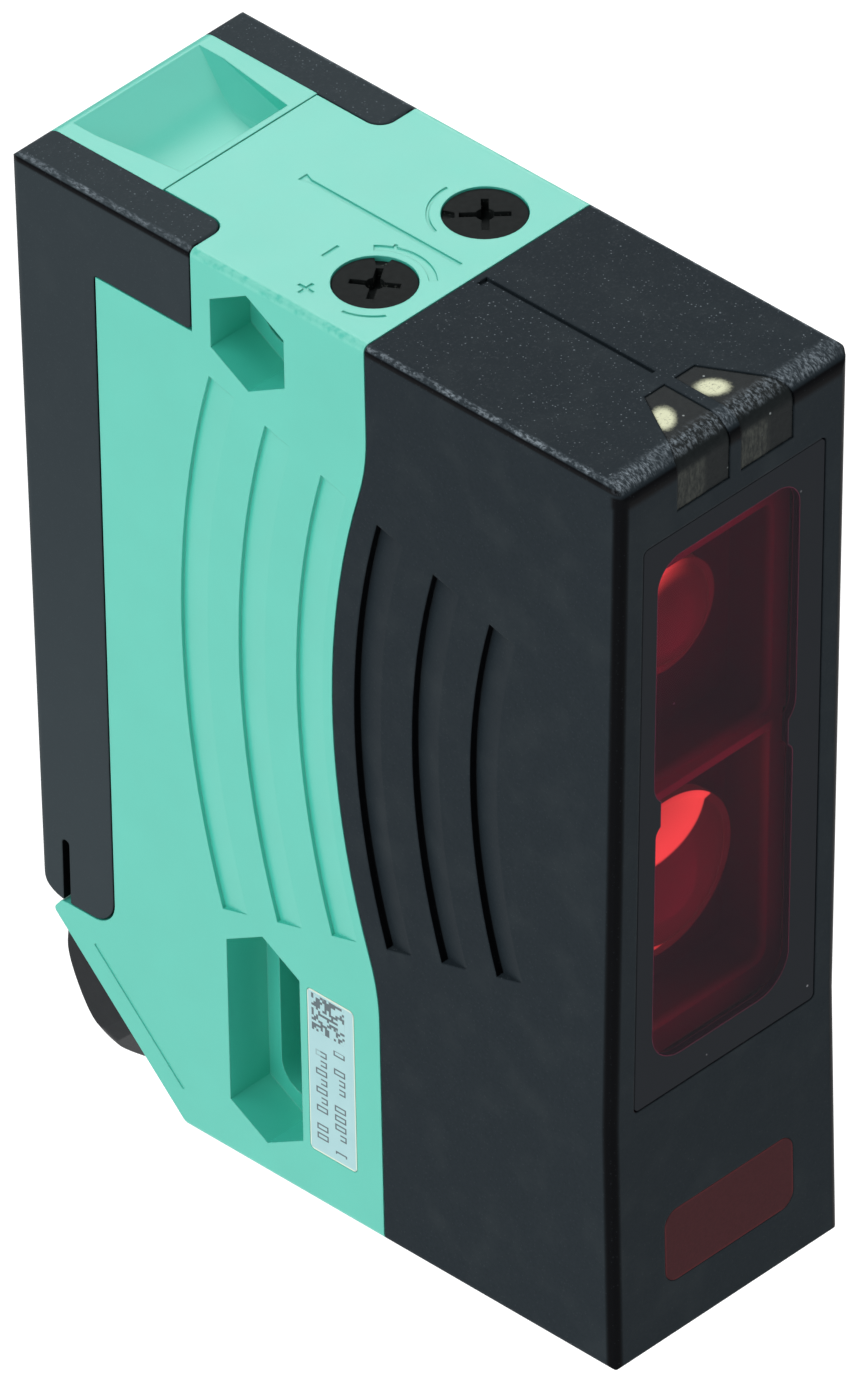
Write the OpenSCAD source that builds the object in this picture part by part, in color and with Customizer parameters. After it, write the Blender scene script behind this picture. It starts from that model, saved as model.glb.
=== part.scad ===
// Block photoelectric sensor with a hinged terminal compartment cover.
// X runs across the width, Y from the lens face (-) to the rear cover (+), Z up.
// The origin lies on the flat underside, in the middle of the width.

/* [Body] */
// Width of the housing along X
body_w = 25.8; // [22:0.1:34]
// Height of the housing
body_h = 88; // [80:0.5:96]
// Lens face at its top edge, distance in front of the origin
front_y = 32.85; // [30:0.05:36]
// Rear cover face at its top edge, distance behind the origin
rear_y = 33.7; // [32.6:0.05:36]
// Rear cover face at its foot, distance behind the origin
foot_y = 32.6; // [32.5:0.05:33]
// Backward slope of the lens face, degrees
face_tilt = 2.2; // [0:0.1:4]
// Height at which the lens face turns upright
kink_z = 24; // [15:0.5:30]
// Outer wall thickness
wall = 2; // [1.2:0.1:3]
// Radius of the long outer edges
edge_r = 0.6; // [0.3:0.1:1.8]
// Radius of the upright front edges
front_edge_r = 1.05; // [0.3:0.05:1.8]
// Radius of the top front edge
brow_r = 1.9; // [0.5:0.1:3]
// Radius of the upright rear edges
rear_edge_r = 1.1; // [0.3:0.1:2]
// Where the sloping corner starts on the underside
chamfer_y = 16.5; // [12:0.5:20]
// Height of the sloping corner's upper lip
lip_z = 14.55; // [12:0.05:18]

/* [Seam and ribs] */
// Joint between front cover and housing, top and bottom
seam_y = -5.2; // [-8:0.1:-3]
// Middle of the concentric curves, along Y
wave_y = -77; // [-90:1:-60]
// Middle of the concentric curves, along Z
wave_z = 50.4; // [45:0.1:55]
// Radius of the curved part of the joint
seam_r = 76.2; // [74:0.1:78]
// Spacing of the curved ribs
wave_step = 6.3; // [5:0.1:8]
// Width of a curved rib
wave_w = 2.9; // [1:0.1:4]
// Half angle of a curved rib, degrees
wave_half = 16.4; // [8:0.1:20]
// Depth of the ribs in the front cover
wave_deep = 0.75; // [0.2:0.05:1.2]
// Depth of the ribs in the housing
wave_faint = 0.35; // [0.1:0.05:1]
// Gap between parts that meet
gap = 0.12; // [0.05:0.01:0.3]

/* [Fixing holes] */
// Fixing holes' position along Y
fix_y = 7.7; // [6:0.1:9]
// Upper fixing hole height
fix_z = 81.9; // [78:0.1:84]
// Lower slot, lowest bolt position
slot_z0 = 7.7; // [6:0.1:10]
// Lower slot, highest bolt position
slot_z1 = 19; // [14:0.1:22]
// Bolt hole radius
fix_r = 2.65; // [2:0.05:3.3]
// Width across the flats of a nut pocket
nut_af = 8.05; // [7:0.05:10]
// Depth of a nut pocket
nut_deep = 4.5; // [3:0.1:6]

/* [Rear cover] */
// Front edge of the cover's side strips
strip_y = 24.4; // [22:0.1:27]
// Front end of the cover's arms
arm_y = 13.9; // [11:0.1:18]
// Underside of the cover's arms
arm_z = 80.2; // [76:0.1:84]
// Width of an arm seen from above
arm_w = 4.2; // [3:0.1:6]
// Front edge of the finger grip
grip_y = 20.85; // [18:0.05:24]
// Hinge line along Y
hinge_y = 29.7; // [29:0.1:30]
// Hinge line height
hinge_z = 18.8; // [18.6:0.1:19]
// Hinge pin radius
hinge_r = 1; // [0.7:0.05:1.3]

/* [Optics] */
// Half width of the window pane
pane_x = 10.15; // [8:0.05:11]
// Pane's upper edge below the top, along the slope
pane_top = 7.6; // [6:0.1:12]
// Pane's lower edge below the top, along the slope
pane_bottom = 63.6; // [58:0.1:66]
// Emitter lens centre below the top, along the slope
emitter_at = 23.5; // [20:0.1:28]
// Emitter lens radius
emitter_r = 4.6; // [4:0.1:6]
// Receiver lens centre below the top, along the slope
receiver_at = 49.5; // [46:0.1:54]
// Receiver lens radius
receiver_r = 7; // [5:0.1:7.4]
// Depth of the lens chambers behind the face
chamber_deep = 8; // [6:0.5:10]

/* [Adjusters] */
// Distance of each adjuster from the middle
dial_x = 6.2; // [5:0.1:8]
// Adjusters' position along Y
dial_y = 0.15; // [-1:0.05:1]
// Adjuster head radius
dial_r = 3.4; // [2.5:0.1:4]
// Depth of the engraved scale marks
mark_deep = 0.12; // [0.05:0.01:0.3]

/* [Cable gland] */
// Thread radius where the gland enters the housing
gland_r = 6.2; // [5:0.1:7]
// Gland axis, distance up the slope from its middle
gland_up = 1.6; // [0:0.1:2]
// Corner radius of the hexagonal nut
gland_nut_r = 9.8; // [9:0.05:10.6]
// Turn of the nut as stored, degrees
gland_turn = 16.4; // [0:0.1:60]
// Radius of the cable opening in the rubber insert
cable_r = 2.6; // [1.5:0.1:3.6]

/* [Hidden] */
$fn = 64;
hw = body_w / 2;
slope = tan(face_tilt);
low_y = front_y - slope * (body_h - kink_z);
foot_z = 15.9;
rear_lean = atan((rear_y - foot_y) / (body_h - foot_z));
in_w = hw - wall;
lip_y = chamfer_y + lip_z;
mid_y = (chamfer_y + lip_y) / 2 + gland_up * 0.70711;
mid_z = lip_z / 2 + gland_up * 0.70711;
far = 60;
grip_x = hw - arm_w;
nut_r = nut_af / 2 / cos(30);

// ---- helpers ----
module along_x(a, b) { translate([a, 0, 0]) rotate([90, 0, 90]) linear_extrude(b - a) children(); }
module along_y(a, b) { translate([0, b, 0]) rotate([90, 0, 0]) linear_extrude(b - a) children(); }
module along_z(a, b) { translate([0, 0, a]) linear_extrude(b - a) children(); }
module both_x() { children(); mirror([1, 0, 0]) children(); }
module rect(a, b, c, d) { translate([a, b]) square([c - a, d - b]); }
module rrect(a, b, c, d, r) {
    rect(a + r, b, c - r, d);
    rect(a, b + r, c, d - r);
    for (x = [a + r, c - r]) for (y = [b + r, d - r]) translate([x, y]) circle(r);
}
module block(a, b, c, d, e, f) { translate([a, c, e]) cube([b - a, d - c, f - e]); }
module cyl_x(a, b, y, z, r) { translate([a, y, z]) rotate([0, 90, 0]) cylinder(h = b - a, r = r); }
function unit(v) = v / norm(v);
function wind(a, b, c) = (b[0] - a[0]) * (c[1] - b[1]) - (b[1] - a[1]) * (c[0] - b[0]);

function turned(v, a) = [v[0] * cos(a) - v[1] * sin(a), v[0] * sin(a) + v[1] * cos(a)];

// Points along the arc of radius r that rounds corner p, coming from a and going to b.
function corner_points(a, p, b, r) = r == 0 ? [p] :
    let (u = unit(a - p), v = unit(b - p), half = acos(u * v) / 2,
        centre = p + unit(u + v) * (r / sin(half)), start = p + u * (r / tan(half)) - centre,
        turn = (180 - 2 * half) * sign(wind(a, p, b)), steps = ceil(abs(turn) / (r > 5 ? 2 : 9)))
    [for (k = [0:steps]) centre + turned(start, turn * k / steps)];
// Polygon whose corners are rounded to the radii in r.
module soft_poly(p, r) {
    n = len(p);
    polygon([for (i = [0:n - 1]) each corner_points(p[(i + n - 1) % n], p[i], p[(i + 1) % n], r[i])]);
}

// Local frame of the sloping lens face: X across, Y inwards, Z up from the top edge.
module on_face() { translate([0, -front_y, body_h]) rotate([face_tilt, 0, 0]) children(); }
// Local frame of the gland: Z points out of the sloping corner.
module on_gland() { translate([0, mid_y, mid_z]) rotate([-135, 0, 0]) children(); }
module face_disc(z, a, b, r) { translate([0, a, -z]) rotate([-90, 0, 0]) cylinder(h = b - a, r = r); }

// ---- outlines ----
// Part of the side that belongs to the front cover; g moves the joint back.
module seam_area(g) {
    rect(-far, -1, seam_y + g, body_h + 1);
    zt = sqrt(pow(seam_r + 20, 2) - pow(seam_y + 20 - wave_y, 2));
    zc = zt * seam_r / (seam_r + 20);
    intersection() {
        translate([wave_y, wave_z]) circle(seam_r + g, $fn = 240);
        rect(-far, wave_z - zc, 10, wave_z + zc);
    }
    for (s = [-1, 1]) difference() {
        rect(-15, wave_z + (s > 0 ? zc - 0.05 : -zt), seam_y + 1.3, wave_z + (s > 0 ? zt : -zc + 0.05));
        translate([seam_y + 20, wave_z + s * zt]) circle(20 - g, $fn = 120);
    }
}
module face_outline(r) { rrect(-hw, 0, hw, body_h, r); }
// Flat cuts that together round the upright front edges, and follow the slope above the kink.
module front_edge_cuts() {
    steps = 6;
    r = front_edge_r;
    both_x() translate([hw - r, r - low_y, 0]) for (k = [1:steps - 1]) {
        lean = slope * sin(90 * k / steps);
        rotate(-90 * k / steps) along_y(-6, 6) polygon([[r, -5], [r, kink_z],
            [r + lean * (body_h + 5 - kink_z), body_h + 5], [20, body_h + 5], [20, -5]]);
    }
}
module cover_side() {
    soft_poly([[strip_y - 0.1, foot_z], [foot_y, foot_z], [rear_y, body_h], [arm_y, body_h],
        [arm_y, arm_z], [strip_y + 0.1, arm_z]], [2.4, 3, 1.6, 0.35, 0.5, 0.4]);
}
module nut_hex() { circle(r = nut_r, $fn = 6); }
module nut_slot() {
    for (z = [slot_z0, slot_z1]) translate([fix_y, z]) rotate(90) nut_hex();
    rect(fix_y - nut_af / 2, slot_z0, fix_y + nut_af / 2, slot_z1);
}
module bolt_slot() {
    for (z = [slot_z0, slot_z1]) translate([fix_y, z]) circle(fix_r);
    rect(fix_y - fix_r, slot_z0, fix_y + fix_r, slot_z1);
}
// A shallow curved rib whose floor slopes up to the face at its front edge.
module wave_cut(r, deep) {
    both_x() translate([0, wave_y, wave_z]) rotate([90, 0, 90]) rotate([0, 0, -wave_half])
        rotate_extrude(angle = 2 * wave_half, $fn = 240)
            polygon([[r, -hw - 0.3], [r, -hw + deep], [r - wave_w * (1 + 0.3 / deep), -hw - 0.3]]);
}
// Seat for a cross-point screwdriver.
module cross_recess(reach, slot_w, z0, z1) {
    for (a = [0, 90]) rotate(a) translate([-reach, -slot_w / 2, z0]) cube([2 * reach, slot_w, z1 - z0]);
    translate([0, 0, z0]) cylinder(h = z1 - z0, r = slot_w * 1.3);
}

// ---- housing ----
// Outside of the housing, with the hinge's rounded middle and the collar that enters the front cover.
module housing_outside() {
    intersection() {
        along_x(-hw, hw) difference() {
            soft_poly([[-12, 0], [chamfer_y, 0], [lip_y, lip_z], [lip_y - 0.9, 15.7], [29.6, 15.7],
                [29.6, body_h], [-12, body_h]], [0, 1.2, 0.45, 0.45, 0, 0, 0]);
            seam_area(gap);
        }
        along_y(-far, far) face_outline(edge_r);
    }
    intersection() {
        cyl_x(-8.6, 8.6, hinge_y, hinge_z, 3.8);
        block(-9, 9, 20, 32.45, 10, 30);
    }
    block(-8.6, 8.6, 24, 29.6, 15, 24.2);
    along_y(-9, 3) difference() {
        rrect(-in_w + gap, wall + gap, in_w - gap, body_h - wall - gap, 1);
        rrect(-9.4, 3.5, 9.4, body_h - 3.5, 0.6);
    }
}
module electronics_space() {
    along_x(-9.4, 9.4) polygon([[-20, 3.5], [1.8, 3.5], [1.8, 26.5], [13.5, 26.5], [13.5, 74.5], [2.6, 74.5],
        [2.6, body_h - 3.5], [-20, body_h - 3.5]]);
    along_x(-in_w, in_w) rect(3, 26.5, 13.5, 74.5);
}
module main_housing() {
    color([0.42, 0.82, 0.73]) difference() {
        union() {
            difference() {
                housing_outside();
                electronics_space();
            }
            // bosses round the adjusters
            for (s = [-1, 1]) translate([s * dial_x, dial_y, 83]) cylinder(h = 4, r = 4.4);
        }
        // terminal space, open to the rear
        along_y(15.5, far) rrect(-9, 25.7, 9, 78.4, 1);
        // way from the gland up to the terminals
        along_x(-6.5, 6.5) polygon([[14.45, 9.97], [23.3, 18.8], [23.3, 30], [15.5, 30], [13.9, 17]]);
        on_gland() translate([0, 0, -8.6]) cylinder(h = 20, r = gland_r + 0.05);
        // space for the rear cover, its ears, strips, arms and grip
        both_x() {
            along_x(10.75, far) union() {
                soft_poly([[strip_y - 0.25, 15.75], [far, 15.75], [far, 90], [strip_y - 0.05, 90]],
                    [2.45, 0, 0, 0]);
                translate([hinge_y, hinge_z]) rect(0, -2.8, 10, 10);
            }
            along_x(8.75, 11) {
                soft_poly([[strip_y - 0.25, 15.75], [far, 15.75], [far, 20], [strip_y - 0.25, 20]],
                    [2.45, 0, 0, 0]);
                intersection() {
                    translate([hinge_y, hinge_z]) circle(5.42);
                    rect(20, 18, far, 24.1);
                }
                rect(hinge_y, 18, far, 24.1);
            }
            along_z(arm_z - 0.15, 90) soft_poly([[grip_x - 0.15, arm_y - 0.15], [far, arm_y - 0.15],
                [far, far], [grip_x - 0.15, far]], [1.6, 0, 0, 0]);
        }
        block(-9, 9, grip_y - 0.15, far, arm_z - 0.15, 90);
        // fixing holes and nut pockets
        cyl_x(-far, far, fix_y, fix_z, fix_r);
        along_x(-far, far) bolt_slot();
        both_x() along_x(hw - nut_deep, far) {
            translate([fix_y, fix_z]) rotate(90) nut_hex();
            nut_slot();
        }
        cyl_x(-11.4, 11.4, hinge_y, hinge_z, hinge_r + 0.02);
        // adjuster seats
        for (s = [-1, 1]) translate([s * dial_x, dial_y, 0]) {
            translate([0, 0, 84.6]) cylinder(h = 5, r = dial_r + 0.1);
            translate([0, 0, 80]) cylinder(h = 6, r = 2.75);
        }
        for (k = [0, 1, 2]) wave_cut(seam_r + 16.4 - wave_step * k + 0.2, wave_faint);
        housing_marks();
        // label recess and the fine line beside the sloping corner
        along_x(-hw - 1, -hw + 0.15) rrect(-2.3, 5.15, 2.9, 21.25, 0.5);
        both_x() along_x(hw - 0.08, far) translate([chamfer_y, 0]) rotate(45)
            rrect(2.9, 2.1, 16.4, 2.42, 0.1);
    }
}
// Engraved scale marks on the top.
module housing_marks() {
    translate([0, 0, body_h - mark_deep]) {
        linear_extrude(1) polygon([[-0.2, seam_y + 2], [0.2, seam_y + 2], [0.2, 13.2], [0.5, 14], [-0.5, 14],
            [-0.2, 13.2]]);
        translate([-dial_x, dial_y]) {
            arc_mark(4.2, 4.9, -45, 45);
            rotate(25) block(4.2, 5.2, -0.15, 0.15, 0, 1);
            arc_mark(4.4, 4.65, 190, 235);
            translate([0.6, 5.4]) block(-0.9, 0.9, -0.14, 0.14, 0, 1);
            translate([-4.2, 3.4]) block(-0.8, 0.8, -0.14, 0.14, 0, 1);
            translate([-4.2, 3.4]) block(-0.14, 0.14, -0.8, 0.8, 0, 1);
        }
        translate([dial_x, dial_y]) arc_mark(4.4, 4.65, 85, 165);
    }
}
module arc_mark(r0, r1, a, b) {
    rotate(a) rotate_extrude(angle = b - a, $fn = 96) rect(r0, 0, r1, 1);
}

module front_cover() {
    color([0.2, 0.22, 0.24]) difference() {
        intersection() {
            along_x(-hw, hw) intersection() {
                soft_poly([[-low_y, 0], [10, 0], [10, body_h], [-front_y, body_h], [-low_y, kink_z]],
                    [0.4, 0, 0, brow_r, 0]);
                seam_area(0);
            }
            along_y(-far, far) face_outline(edge_r);
        }
        front_edge_cuts();
        difference() {
            along_x(-in_w, in_w) polygon([[-low_y + 3.1, wall], [20, wall], [20, body_h - wall],
                [-low_y + 3.1 - slope * (body_h - wall - kink_z), body_h - wall], [-low_y + 3.1, kink_z]]);
            along_y(-11, -10) difference() {
                rect(-far, 0, far, 90);
                rrect(-9.4, 3.5, 9.4, body_h - 3.5, 0.6);
            }
        }
        on_face() {
            along_y(-1, 0.9) rrect(-pane_x - 0.15, -pane_bottom - 0.15, pane_x + 0.15, -pane_top + 0.15, 0.55);
            along_y(-1, 4) rrect(-9.5, -62.6, 9.5, -9, 0.6);
        }
        both_x() guide_space(0.05);
        for (k = [0, 1, 2]) wave_cut(seam_r - 2.3 - wave_step * k, wave_deep);
        // step line along the top
        block(-0.2, 0.2, -24, seam_y - 0.6, body_h - 0.35, 90);
        block(-0.9, -0.1, seam_y - 1.1, seam_y - 0.6, body_h - 0.35, 90);
        // seat of the badge
        along_y(-low_y - 1, -low_y + 0.12) badge_shape(0.03);
    }
}
module badge_shape(g) { rrect(-7 - g, 5.4 - g, 7.6 + g, 12.4 + g, 1.4); }
// Fan shaped space of one light guide, from the indicator up to the top front edge.
module guide_space(g) {
    along_z(82.5 - g, 90) polygon([[0.72 - g, -34], [6.5 + g, -34], [6.5 + g, -32.4],
        [2.8 + g, -25.7 + g], [0.6 - g, -25.7 + g], [0.6 - g, -30]]);
}
module light_guide() {
    intersection() {
        guide_space(0);
        along_x(-hw, hw) soft_poly([[-low_y, 0], [10, 0], [10, body_h - 0.1], [-front_y + 0.1, body_h - 0.1],
            [-low_y + 0.1, kink_z]], [0, 0, 0, brow_r, 0]);
    }
}
module light_guide_left() { color([0.45, 0.46, 0.42, 0.6]) mirror([1, 0, 0]) light_guide(); }
module light_guide_right() { color([0.45, 0.46, 0.42, 0.6]) light_guide(); }

module housing_seal() {
    color([0.12, 0.12, 0.12]) along_y(-9.95, -9.05) difference() {
        rrect(-in_w + 0.2, wall + 0.2, in_w - 0.2, body_h - wall - 0.2, 1);
        rrect(-9.5, 3.4, 9.5, body_h - 3.4, 0.8);
    }
}

// ---- optics ----
module lens_window() {
    color([0.45, 0.05, 0.1, 0.6]) on_face() along_y(0.02, 0.85)
        rrect(-pane_x, -pane_bottom, pane_x, -pane_top, 0.45);
}
module aperture_mask() {
    color([0.1, 0.1, 0.11]) on_face() along_y(0.95, 1.6) difference() {
        rrect(-9.45, -62.55, 9.45, -9.05, 0.6);
        soft_poly([[-8.7, -33.8], [8.7, -33.8], [8.7, -10.3], [-8.7, -10.3]], [1.4, 1.4, 2.3, 2.3]);
        soft_poly([[-8.7, -61.3], [8.7, -61.3], [8.7, -36.2], [-8.7, -36.2]], [4.3, 4.3, 1.2, 1.2]);
        rect(-7.5, -38, 7.5, -32);
    }
}
module optics_carrier() {
    color([0.13, 0.13, 0.14]) on_face() difference() {
        union() {
            along_y(3.25, 15) rrect(-10.6, -65.3, 10.6, -8.2, 0.8);
            along_y(2.3, 4) rect(-7.1, -36, 7.1, -35.2);
        }
        along_y(2, chamber_deep) {
            rrect(-7.9, -35.1, 7.9, -14.2, 1.2);
            rrect(-7.9, -60.2, 7.9, -36.1, 1.2);
        }
        translate([0, 7, -emitter_at]) rotate([-90, 0, 0]) cylinder(h = 9, r1 = emitter_r - 0.4, r2 = 2.6);
        translate([0, 7, -receiver_at]) rotate([-90, 0, 0]) cylinder(h = 9, r1 = receiver_r - 0.6, r2 = 3.4);
        face_screw_places() face_disc(0, 9, 16, 0.95);
    }
}
module face_screw_places() {
    translate([-6.8, 0, -63]) children();
    translate([6.8, 0, -9.9]) children();
}
module dome_lens(z, r, h) {
    s = (r * r + h * h) / (2 * h);
    base = chamber_deep - 1.05;
    face_disc(z, base, chamber_deep - 0.05, r + 0.6);
    intersection() {
        translate([0, base + 0.05 - h + s, -z]) sphere(s, $fn = 120);
        face_disc(z, base - 3, base + 0.1, r);
    }
}
module emitter_lens() { color([0.9, 0.4, 0.38, 0.5]) on_face() dome_lens(emitter_at, emitter_r, 2.1); }
module receiver_lens() { color([0.9, 0.4, 0.38, 0.5]) on_face() dome_lens(receiver_at, receiver_r, 2.6); }
module emitter_led() {
    color([0.9, 0.88, 0.8]) on_face() {
        along_y(14, 15.05) rrect(-1.7, -emitter_at - 1.7, 1.7, -emitter_at + 1.7, 0.2);
        intersection() {
            translate([0, 14.2, -emitter_at]) sphere(1.3);
            along_y(12, 14.3) rect(-3, -emitter_at - 3, 3, -emitter_at + 3);
        }
    }
}
module photodiode() {
    color([0.12, 0.1, 0.14]) on_face() {
        along_y(13.9, 15.05) rrect(-2.5, -receiver_at - 2, 2.5, -receiver_at + 2, 0.2);
        along_y(13.7, 14) rect(-1.5, -receiver_at - 1.5, 1.5, -receiver_at + 1.5);
    }
}
module sensor_board() {
    color([0.06, 0.32, 0.16]) on_face() difference() {
        along_y(15.1, 16.7) rrect(-9, -65, 9, -8.5, 0.5);
        face_screw_places() face_disc(0, 14, 18, 1.1);
    }
}
module sensor_board_screws() {
    color([0.75, 0.75, 0.76]) on_face() face_screw_places() difference() {
        union() {
            face_disc(0, 10, 16.8, 0.9);
            face_disc(0, 16.75, 17.9, 1.7);
        }
        block(-1.1, 1.1, 17.4, 19, -0.2, 0.2);
        block(-0.2, 0.2, 17.4, 19, -1.1, 1.1);
    }
}

// ---- electronics ----
module main_board() {
    color([0.06, 0.32, 0.16]) along_x(7, 8.6) difference() {
        rrect(-8.5, 28, 12.5, 70.5, 0.6);
        for (p = [[-6.5, 30.2], [10.5, 68.3]]) translate(p) circle(1.1);
        relay_pins() circle(0.42);
    }
}
module relay_pins() { for (y = [2.5, 8.5]) for (z = [34, 42, 50]) translate([y, z]) children(); }
module relay() {
    color([0.1, 0.25, 0.5]) {
        along_x(-4.5, 6.4) rrect(0.5, 32, 10.5, 52, 0.5);
        along_x(6.3, 9.2) relay_pins() circle(0.35);
    }
}
module transformer() {
    color([0.75, 0.65, 0.2]) {
        along_x(-3, 5.4) rrect(1.5, 56, 11.5, 67.5, 0.6);
        along_x(-3.8, -3) rrect(4, 55, 9, 68.5, 0.4);
        along_x(5.3, 6.9) rrect(2.5, 57, 10.5, 66.5, 0.4);
    }
}
module capacitor() {
    color([0.15, 0.15, 0.3]) {
        cyl_x(-4.4, 5.6, -3.6, 62, 4);
        cyl_x(5.5, 6.9, -3.6, 62, 3.3);
        cyl_x(-4.6, -4.3, -3.6, 62, 3.4);
    }
}
module signal_chip() {
    color([0.08, 0.08, 0.08]) {
        along_x(6, 6.8) rrect(-7.5, 36, -0.5, 43, 0.2);
        for (i = [0:5]) {
            block(6.5, 6.95, -7.2 + 1.2 * i, -6.8 + 1.2 * i, 35.2, 36.1);
            block(6.5, 6.95, -7.2 + 1.2 * i, -6.8 + 1.2 * i, 42.9, 43.8);
        }
    }
}
module adjuster_board() {
    color([0.06, 0.32, 0.16]) along_z(72, 73.2) rrect(-9.2, -10.5, 9.2, 2.6, 0.6);
}
module sensitivity_trimmer() { color([0.1, 0.3, 0.6]) translate([-dial_x + 0.2, dial_y]) trimmer_at(-0.2); }
module mode_trimmer() { color([0.1, 0.3, 0.6]) translate([dial_x - 0.2, dial_y]) trimmer_at(0.2); }
module trimmer_at(dx) {
    difference() {
        union() {
            along_z(73.25, 78.6) rrect(-3.2, -3.35, 3.2, 2.2, 0.4);
            translate([dx, 0, 78.5]) cylinder(h = 0.7, r = 2.1);
        }
        translate([dx, 0, 74]) cylinder(h = 6, r = 1.5);
    }
}
module dial(mark) {
    difference() {
        union() {
            translate([0, 0, 85.65]) cylinder(h = 2.2, r = dial_r);
            translate([0, 0, 81.5]) cylinder(h = 4.2, r = 2.6);
            translate([0, 0, 75]) cylinder(h = 7, r = 1.4);
        }
        cross_recess(2.05, 0.6, 86.7, 90);
        translate([0, 0, 87.55]) rotate(mark) linear_extrude(2) polygon([[2.4, -0.35], [3.6, -0.8], [3.6, 0.8],
            [2.4, 0.35]]);
    }
}
module sensitivity_adjuster() {
    color([0.11, 0.11, 0.12]) translate([-dial_x, dial_y, 0]) rotate(33) dial(0);
}
module mode_adjuster() {
    color([0.11, 0.11, 0.12]) translate([dial_x, dial_y, 0]) rotate(45) dial(90);
}
module adjuster_o_rings() {
    color([0.08, 0.08, 0.08]) for (s = [-1, 1]) translate([s * dial_x, dial_y, 85.1])
        rotate_extrude($fn = 60) translate([3.06, 0]) circle(0.4, $fn = 24);
}
module indicator_board() {
    color([0.06, 0.32, 0.16]) on_face() block(-7.6, 7.6, 3.5, 11.5, -8.15, -7.35);
}
module indicator_leds() {
    color([0.95, 0.9, 0.5]) on_face() for (s = [-1, 1]) {
        block(s * 2.6 - 0.9, s * 2.6 + 0.9, 4.2, 6, -7.34, -6.6);
        translate([s * 2.6, 5.1, -6.65]) cylinder(h = 0.35, r = 0.65);
    }
}

// ---- terminals ----
module pole_places() { for (i = [-2:2]) translate([i * 3.4, 0, 0]) children(); }
module terminal_block() {
    color([0.75, 0.78, 0.76]) difference() {
        along_x(-8.6, 8.6) soft_poly([[15.5, 46], [24, 46], [24, 51], [26.5, 54], [26.5, 62], [15.5, 62]],
            [0, 0.5, 0.5, 0.5, 0.8, 0]);
        pole_places() {
            block(-1.25, 1.25, 19.2, 23, 45, 60.5);
            translate([0, 22, 57]) rotate([-90, 0, 0]) cylinder(h = 6, r = 1.4);
        }
    }
}
module terminal_cages() {
    color([0.78, 0.74, 0.6]) pole_places() difference() {
        block(-1.2, 1.2, 19.25, 22.95, 54.6, 59.6);
        block(-0.8, 0.8, 19.7, 21.9, 54, 60);
        translate([0, 21, 57]) rotate([-90, 0, 0]) cylinder(h = 3, r = 0.85);
    }
}
module terminal_screws() {
    color([0.8, 0.8, 0.8]) pole_places() difference() {
        translate([0, 0, 57]) rotate([-90, 0, 0]) union() {
            translate([0, 0, 21.2]) cylinder(h = 3, r = 0.8);
            translate([0, 0, 24.1]) cylinder(h = 1.8, r = 1.3);
        }
        block(-2, 2, 25.4, 27, 56.78, 57.22);
    }
}

// ---- rear cover ----
module rear_cover() {
    color([0.24, 0.26, 0.28]) difference() {
        intersection() {
            union() {
                both_x() along_x(in_w, hw) cover_side();
                along_x(-hw, hw) intersection() {
                    cover_side();
                    rect(30.7, 0, far, 90);
                }
                both_x() along_x(grip_x, hw) intersection() {
                    cover_side();
                    rect(0, arm_z, far, 90);
                }
                both_x() along_x(8.9, hw) intersection() {
                    cover_side();
                    translate([hinge_y, hinge_z]) circle(5.2);
                    rect(20, 10, 40, 23.9);
                }
            }
            along_y(-far, far) rrect(-hw, 10, hw, body_h, edge_r);
            translate([0, rear_y, body_h]) rotate([-rear_lean, 0, 0]) along_z(-90, 5)
                rrect(-hw, -50, hw, 0, rear_edge_r);
            union() {
                along_z(0, 90) rect(-far, arm_y + 2, far, far);
                both_x() along_z(0, 90) soft_poly([[grip_x, arm_y], [far, arm_y], [far, far], [grip_x, far]],
                    [1.5, 0, 0, 0]);
            }
        }
        // room for the middle of the hinge and for the grip
        cyl_x(-8.85, 8.85, hinge_y, hinge_z, 4.1);
        block(-8.85, 8.85, 20, 40, 10, hinge_z);
        block(-grip_x, grip_x, 20, 40, arm_z - 0.1, 90);
        cyl_x(-11.6, 11.6, hinge_y, hinge_z, hinge_r + 0.06);
        // narrow slot beside each ear
        both_x() along_x(hw - 1.2, far) {
            rect(29.1, 10, 29.9, 21.6);
            translate([29.5, 21.6]) circle(0.4);
        }
        // seat of the seal
        along_y(30, 30.9) difference() {
            rrect(-10.5, 24.2, 10.5, 79.9, 1);
            rrect(-9.2, 25.5, 9.2, 78.6, 0.8);
        }
    }
}
module finger_grip() {
    color([0.42, 0.82, 0.73]) difference() {
        intersection() {
            block(-grip_x, grip_x, grip_y, far, arm_z - 0.1, body_h);
            along_x(-hw, hw) cover_side();
        }
        intersection() {
            along_x(-8, 8) soft_poly([[grip_y + 0.5, 88.5], [grip_y + 1, 85.3], [26.4, 85.3],
                [rear_y - 0.4, 88.5]], [0, 1.3, 11, 0]);
            along_y(0, 60) soft_poly([[-4.6, 85.2], [4.6, 85.2], [7.6, 88.6], [-7.6, 88.6]], [1.6, 1.6, 0, 0]);
            along_z(80, 90) polygon([[-5.9, grip_y], [5.9, grip_y], [7.6, rear_y], [-7.6, rear_y]]);
        }
        // hollow underside
        along_x(-grip_x + 1.5, grip_x - 1.5) rect(grip_y + 1.5, arm_z - 1, 30.6, 83.4);
    }
}
module cover_seal() {
    color([0.1, 0.1, 0.1]) along_y(29.72, 30.88) difference() {
        rrect(-10.4, 24.3, 10.4, 79.8, 0.9);
        rrect(-9.3, 25.4, 9.3, 78.7, 0.7);
    }
}
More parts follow.
